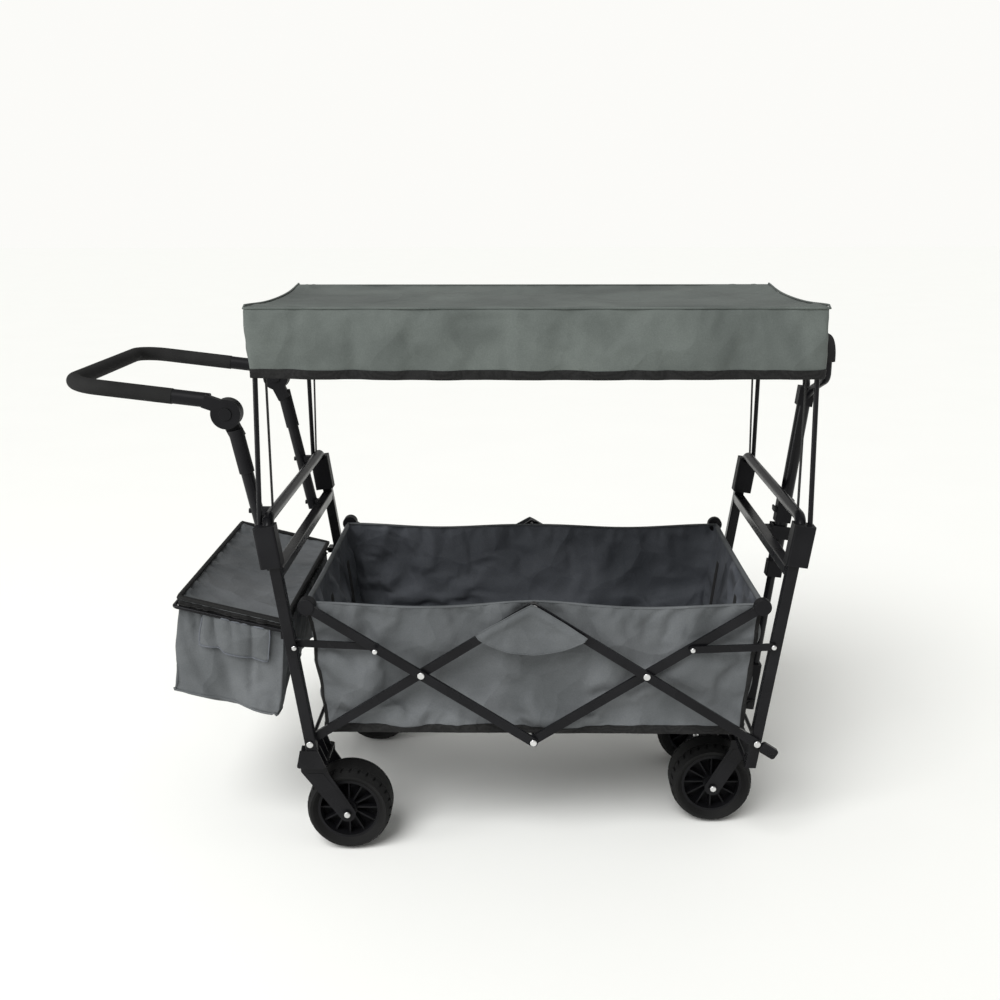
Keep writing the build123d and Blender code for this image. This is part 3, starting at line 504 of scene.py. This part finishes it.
def rim_height(u, v):
    """The long rims peak over the middle joint and sag on either side of it."""
    if abs(v) > EDGE:
        peak = (4.0 if v < 0 else -2.0) * exp(-((u / 0.2) ** 2))
        return TUB_TOP_Z + peak - 9.0 * sin(pi * abs(u)) ** 2
    return TUB_TOP_Z - 4.0 * (1 - v * v)


def tub_wall(u, v, t):
    x = u * (TUB_FOOT_X + (TUB_TOP_X - TUB_FOOT_X) * t)
    y = v * (TUB_FOOT_Y + (TUB_TOP_Y - TUB_FOOT_Y) * t)
    z = TUB_FOOT_Z + 1.0 + (rim_height(u, v) - TUB_FOOT_Z - 1.0) * t
    point = place(x, y, z)
    depth = sin(pi * t)
    amount = 7.0 * ripple(point, 120.0, 1.0) + 4.0 * ripple(point, 52.0, 9.0) - 2.5
    if abs(v) > EDGE:
        amount += 5.0 * exp(-((u / 0.3) ** 2)) * sin(14 * u + 5 * t)
        point.y += sign(v) * min(4.5, amount * depth) * MM
    if abs(u) > EDGE:
        point.x += sign(u) * min(5.0, amount * depth) * MM
    return point


def tub():
    nx, ny, rows = 100, 64, 34
    vertices, faces, rings = tray(tub_floor, tub_wall, nx, ny, rows)
    faces = [tuple(reversed(f)) for f in faces]
    obj = make_object("tub_cloth", vertices, faces, "grey_cloth", FRAME)
    plate = list(range((nx + 1) * (ny + 1)))
    corners = corner_cells(rings, nx, ny)
    drape(obj, plate + rings[-1] + corners, 0.07, frames=24, cap=9.0, gravity=0.2, bending=0.2)
    limit = (TUB_TOP_Y + TUB_BULGE) * MM
    for vertex in obj.data.vertices:
        vertex.co.y = max(-limit, min(limit, vertex.co.y))
    rim = [obj.data.vertices[k].co.copy() for k in rings[-1]]
    thicken(obj, 2.0, 1, offset=1.0)
    obj.data.materials.append(MATERIALS["lining"])
    obj.modifiers["thickness"].material_offset = 1
    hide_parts("tub")
    details = tub_details(obj, rim, rings, nx, ny)
    for piece in [obj, *details]:
        fold_with(piece)


def tub_details(obj, rim, rings, nx, ny):
    """Hem roll, bottom binding, upright bindings and seat straps."""
    hem = [p + Vector((0, 0, -1.0 * MM)) for p in rim]
    pieces = [piping("tub_hem", hem, 3.0, "grey_cloth", FRAME)]
    pieces.append(tape("tub_bottom_binding", obj, rings[:3], 2.6, "binding", FRAME))
    corners = ((0, 1, "rear_near"), (nx, -1, "front_near"),
               (nx + ny, 1, "front_far"), (2 * nx + ny, -1, "rear_far"))
    for corner, step, where in corners:
        strips = [[ring[corner + step * k] for ring in rings[1:-1]] for k in (0, 1)]
        pieces.append(tape("tub_binding_" + where, obj, strips, 2.6, "binding", FRAME,
                           closed=False))
    for end in (-1, 1):
        pieces.append(end_roll(end))
        for side in (-1, 1):
            pieces.append(seat_strap(end, side))
    return pieces


def end_roll(end):
    """Padded roll over each end rim."""
    path = []
    for y in range(-ROLL_Y, ROLL_Y + 1, ROLL_STEP):
        path.append(place(end * TUB_TOP_X, y, TUB_TOP_Z - 3.0 - 4.0 * (1 - (y / ROLL_Y) ** 2)))
    return piping("tub_end_roll_" + END[end], path, 5.5, "grey_cloth",
                  FRAME, closed=False)


def seat_strap(end, side):
    """Harness webbing that hangs inside the end wall and turns onto the floor mat."""
    path = []
    for step in range(25):
        t = step / 24
        down, inward = min(1.0, t / STRAP_TURN), max(0.0, t - STRAP_TURN)
        x = STRAP_TOP_X - STRAP_LEAN * down - inward * 420.0
        y = side * (STRAP_Y + 3.0 * sin(7 * t))
        z = STRAP_TOP_Z - STRAP_DROP * down + 2.0 * sin(pi * inward * 4)
        path.append(place(end * x, y, z))
    name = f"seat_strap_{END[end]}_{SIDE[side]}"
    return ribbon(name, path, [Vector((0, 1, 0))] * len(path), STRAP_W, "webbing", FRAME)


def floor_mat():
    """Padded board cover with two sewn channels, where it folds in three."""
    low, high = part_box("floor_mat")
    nx, ny = 72, 44

    def top(u, v):
        x = (low[0] + high[0]) / 2 + u * (high[0] - low[0]) / 2
        y = (low[1] + high[1]) / 2 + v * (high[1] - low[1]) / 2
        edge = max(0.0, 1 - max(abs(u) ** 14, abs(v) ** 14))
        seam = min(abs(u - 1 / 3), abs(u + 1 / 3)) * 12
        z = low[2] + 0.003 + (high[2] - low[2] - 0.004) * edge * min(1.0, 0.35 + seam)
        point = Vector((x, y, z))
        point.z += 0.0012 * ripple(point, 70.0, 4.0)
        return point

    def wall(u, v, t):
        p = top(u, v)
        p.z += (low[2] - p.z) * t
        return p

    vertices, faces, rings = tray(top, wall, nx, ny, 2)
    obj = make_object("padded_floor", vertices, faces, "floor_mat", FRAME)
    obj.data.flip_normals()
    thicken(obj, 1.0, 1, offset=-1.0)
    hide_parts("floor_mat")
    fold_with(obj)


# ---------------------------------------------------------------- flaps
def flap(side):
    """Patch sewn over each middle joint, drawn out by the rivet under it."""
    apex, wing_rear, wing_front, foot = 556.0, (-114.0, 486.0), (104.0, 480.0), 446.0

    def point(a, b):
        x = wing_rear[0] + (wing_front[0] - wing_rear[0]) * a
        wing = wing_rear[1] + (wing_front[1] - wing_rear[1]) * a
        top = wing + (apex - 8.0 - wing) * (1 - abs(2 * a - 1) ** 1.08)
        low = wing + (foot - wing) * (1 - (2 * a - 1) ** 2) ** 0.75
        z = low + (top - low) * b
        p = place(x, side * 333.0, z)
        ridge = 4.0 * exp(-(((top - z - 12.0) / 9.0) ** 2))
        hollow = 3.0 * sin(pi * a) * sin(pi * b) * (1 - b)
        pleat = 1.4 * sin(26 * (a - 0.5)) * (1 - b) * sin(pi * a)
        out = ridge - hollow + pleat + 2.2 * ripple(p, 34.0, 3.0 + side) + 1.6
        p.y += side * max(-0.6, out) * MM
        return p

    vertices, faces = grid(point, 40, 22)
    if side > 0:
        faces = [tuple(reversed(f)) for f in faces]
    name = "middle_flap_" + SIDE[side]
    obj = make_object(name, vertices, faces, "grey_cloth", FRAME)
    hem = [point(k / 40, 0.0) + Vector((0, side * 0.3 * MM, 0)) for k in range(41)]
    hem += [point(1 - k / 40, 1.0) + Vector((0, side * 0.3 * MM, 0)) for k in range(1, 40)]
    edge = piping(name + "_edge", hem, 1.3, "grey_cloth", FRAME)
    thicken(obj, 1.2)
    for piece in (obj, edge):
        fold_with(piece)
    return obj


# ---------------------------------------------------------------- bag
def bag_point(a, b, y):
    """a runs from the wagon outward along the lid, b down the bag's side; a, b in 0..1."""
    x = BAG_IN[0] + (BAG_OUT[0] - BAG_IN[0]) * a + BAG_DOWN[0] * b
    z = BAG_IN[1] + (BAG_OUT[1] - BAG_IN[1]) * a + BAG_DOWN[1] * b
    return place(x, y, z)


def bag_floor(u, v):
    p = bag_point((1 - u) / 2 * 1.04 - 0.01, 1.0, v * BAG_Y * 1.01)
    p.z -= (9.0 * (1 - u * u) * (1 - v * v) + 3.0 * ripple(p, 80.0, 7.0)) * MM
    return p


def bag_wall(u, v, t):
    """t runs up from the floor to the zip."""
    flare = 1 + 0.01 * (1 - t)
    p = bag_point(0.5 - 0.5 * u * (1 + 0.04 * (1 - t)), 1 - t, v * BAG_Y * flare)
    belly = 12.0 * sin(pi * min(1.0, 1.15 * (1 - t)))
    wave = (6.0 * ripple(p, 75.0, 11.0) + 3.0 * ripple(p, 34.0, 13.0)) * sin(pi * t) ** 0.7
    if abs(v) > EDGE:
        p.y += sign(v) * (belly * 0.5 * (1 - u * u) + wave - 2.0) * MM
    if abs(u) > EDGE:
        held = 1 if u < 0 else 0.35      # the side by the legs stays flatter
        p.x += sign(u) * (belly * 0.6 * (1 - v * v) + wave - 2.0) * MM * held
    return p


def lid_point(u, v):
    p = bag_point((1 - u) / 2, -0.03, v * BAG_Y)
    edge = 1 - max(abs(u), abs(v)) ** 5
    sag = 7.0 * (1 - u * u) * (1 - v * v)
    p.z += (edge * (5.0 * ripple(p, 90.0, 17.0) + 2.5 * ripple(p, 36.0, 19.0) + 2.0) - sag) * MM
    return p


def lid_wall(u, v, t):
    p = lid_point(u, v)
    p.z -= 8.0 * MM * t
    return p


def grown(point, ring, distance):
    """The point moved outward from its ring's middle, level, by millimetres."""
    middle = sum(ring, Vector()) / len(ring)
    out = Vector((point.x - middle.x, (point.y - middle.y) * 0.7, 0)).normalized()
    return point + out * distance * MM


def bag():
    nx, ny, rows = 30, 72, 24
    vertices, faces, rings = tray(bag_floor, bag_wall, nx, ny, rows)
    body = make_object("bag_body", vertices, faces, "grey_cloth", FRAME)
    body.data.flip_normals()
    drape(body, rings[-1], 0.1, frames=24, cap=16.0, gravity=0.7, bending=0.15)
    thicken(body, 1.8, 1)
    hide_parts("bag")
    tape_piece = tape("bag_zip_tape", body, rings[-3:], 2.0, "binding", FRAME)
    zip_row, seam_row = ([body.data.vertices[k].co.copy() for k in rings[at]] for at in (-2, 0))
    teeth = piping("bag_zip_teeth", [grown(p, zip_row, 4.0) for p in zip_row], 1.8, "webbing",
                   FRAME)
    seam = piping("bag_bottom_seam", seam_row, 2.4, "grey_cloth", FRAME)
    flap_rows = [[ring[k] for k in range(7, 27)] for ring in rings[14:23]]
    pocket = tape("bag_pocket_flap", body, flap_rows, 8.0, "grey_cloth", FRAME,
                  closed=False)
    count, last = len(flap_rows[0]), len(flap_rows) - 1
    around = list(range(count)) + [row * count + count - 1 for row in range(1, last)]
    around += [last * count + k for k in range(count - 1, -1, -1)]
    around += [row * count for row in range(last - 1, 0, -1)]
    hem = piping("bag_pocket_hem", [pocket.data.vertices[k].co.copy() for k in around], 1.8, "lining",
                 FRAME)
    vertices, faces, rings = tray(lid_point, lid_wall, nx, ny, 2)
    lid = make_object("bag_lid_cloth", vertices, faces, "grey_cloth", "bag_lid")
    drape(lid, rings[0] + rings[-1], 0.08, frames=22, cap=10.0, gravity=0.5, bending=0.12)
    rim = [lid.data.vertices[k].co.copy() for k in rings[0]]
    thicken(lid, 1.8, 1, offset=-1.0)
    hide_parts("bag_lid")
    welt = piping("bag_lid_welt", rim, 5.0, "binding", "bag_lid")


# ---------------------------------------------------------------- rivets and axle nuts
DOME = ((1.0, 0.0), (1.0, 0.35), (0.86, 0.7), (0.55, 0.93), (0.2, 1.0))


def domes(name, spots, radius, height, body):
    """Domed heads that stand on Y-facing surfaces; spots are (x, y, z, side) in metres."""
    vertices, faces = [], []
    around = 20
    for x, y, z, side in spots:
        base = len(vertices)
        for reach, rise in DOME:
            for k in range(around):
                angle = tau * k / around
                level, out = reach * radius * MM, side * rise * height * MM
                vertices.append(Vector((x + cos(angle) * level, y + out, z + sin(angle) * level)))
        for ring in range(len(DOME) - 1):
            for k in range(around):
                a, b = base + ring * around + k, base + ring * around + (k + 1) % around
                quad = (a, b, b + around, a + around)
                faces.append(quad if side < 0 else tuple(reversed(quad)))
        cap = tuple(base + (len(DOME) - 1) * around + k for k in range(around))
        faces.append(cap if side < 0 else tuple(reversed(cap)))
    return make_object(name, vertices, faces, "zinc", body)


def link_rivets(end):
    """Silver heads at both ends of the short links."""
    name = END[end]
    low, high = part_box(name + "_links")
    spots = []
    for x, z in LINK_PINS:
        at = place(end * x, 0, z)
        spots += [(at.x, low[1], at.z, -1), (at.x, high[1], at.z, 1)]
    domes(name + "_link_heads", spots, 5.0, 2.2, name + "_link_pair")


def rod_heads():
    """Silver heads on the ends of the black cross rods."""
    bodies = {"rear": "rear_lower_pair", "middle": "rear_upper_pair", "front": "front_lower_pair"}
    for word, body in bodies.items():
        low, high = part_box("floor_rod_" + word)
        x, z = (low[0] + high[0]) / 2, (low[2] + high[2]) / 2
        domes("rod_heads_" + word, [(x, low[1], z, -1), (x, high[1], z, 1)], 6.8, 1.8, body)


def axle_nuts():
    """Domed nuts on both sides of each wheel's fork or hub."""
    for side, word in ((-1, "right"), (1, "left")):
        low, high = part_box("rear_fork_" + word)
        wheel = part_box("tyre_rear_" + word)
        x, z = (wheel[0][0] + wheel[1][0]) / 2, (wheel[0][2] + wheel[1][2]) / 2
        domes("rear_nuts_" + word, [(x, low[1], z, -1), (x, high[1], z, 1)], 6.5, 2.5, "caster_" + word)
    half = (high[1] - low[1]) / 2
    spots = []
    for word in ("right", "left"):
        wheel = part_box("tyre_front_" + word)
        x, y, z = ((wheel[0][k] + wheel[1][k]) / 2 for k in range(3))
        spots += [(x, y - half, z, -1), (x, y + half, z, 1)]
    domes("front_nuts", spots, 6.5, 2.5, "front_frame")


# ---------------------------------------------------------------- light, floor and camera
def stage():
    """Pale floor and an even sky, brighter where the camera sees it."""
    mesh = bpy.data.meshes.new(FLOOR)
    corners = [(x * FLOOR_HALF, y * FLOOR_HALF, 0) for x, y in ((-1, -1), (1, -1), (1, 1), (-1, 1))]
    mesh.from_pydata(corners, [], [(0, 1, 2, 3)])
    obj = bpy.data.objects.new(FLOOR, mesh)
    bpy.context.scene.collection.objects.link(obj)
    material, shader = new_material(FLOOR, 0.9)
    tree = material.node_tree
    coord = add(tree, "ShaderNodeTexCoord").outputs["Object"]
    cloud = noise_node(tree, coord, 2.0)
    colour = ramp(tree, cloud, ((0.3, (0.95, 0.955, 0.93)), (0.7, (0.96, 0.965, 0.94))))
    tree.links.new(colour, shader.inputs["Base Color"])
    obj.data.materials.append(material)
    world = bpy.context.scene.world or bpy.data.worlds.new("world")
    bpy.context.scene.world = world
    world.use_nodes = True
    back = world.node_tree.nodes["Background"]
    back.inputs["Color"].default_value = (1.0, 0.995, 0.97, 1.0)
    seen = add(world.node_tree, "ShaderNodeLightPath").outputs["Is Camera Ray"]
    levels = {"Value": seen, "To Min": WORLD_LIGHT, "To Max": WORLD_SEEN}
    strength = add(world.node_tree, "ShaderNodeMapRange", levels)
    world.node_tree.links.new(strength.outputs[0], back.inputs["Strength"])


def lamp(name, position, target, size, watts):
    light = bpy.data.lights.new(name, "AREA")
    light.size = size
    light.energy = watts
    obj = bpy.data.objects.new(name, light)
    obj.location = position
    obj.rotation_euler = (Vector(target) - Vector(position)).to_track_quat("-Z", "Y").to_euler()
    bpy.context.scene.collection.objects.link(obj)


def sun(strength, softness, pitch, turn):
    light = bpy.data.lights.new("sun", "SUN")
    light.energy = strength
    light.angle = radians(softness)
    obj = bpy.data.objects.new("sun", light)
    obj.rotation_euler = (radians(pitch), 0, radians(turn))
    bpy.context.scene.collection.objects.link(obj)


def camera():
    lens = bpy.data.cameras.new("camera")
    lens.lens = LENS
    lens.sensor_width = SENSOR
    obj = bpy.data.objects.new("camera", lens)
    obj.location = place(*CAMERA_AT)
    obj.rotation_euler = (radians(90 + CAMERA_PITCH), radians(CAMERA_ROLL), radians(CAMERA_TURN))
    bpy.context.scene.collection.objects.link(obj)
    bpy.context.scene.camera = obj


camera()
stage()
sun(strength=2.5, softness=35.0, pitch=42.0, turn=-25.0)
lamp("fill", position=(-3.0, -1.6, 1.1), target=(0.2, 0, 0.6), size=1.2, watts=30.0)
canopy()
tub()
floor_mat()
near_flap = flap(-1)
flap(1)
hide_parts("flaps")
bag()
link_rivets(-1)
link_rivets(1)
rod_heads()
axle_nuts()
bpy.context.scene.view_settings.view_transform = "Standard"
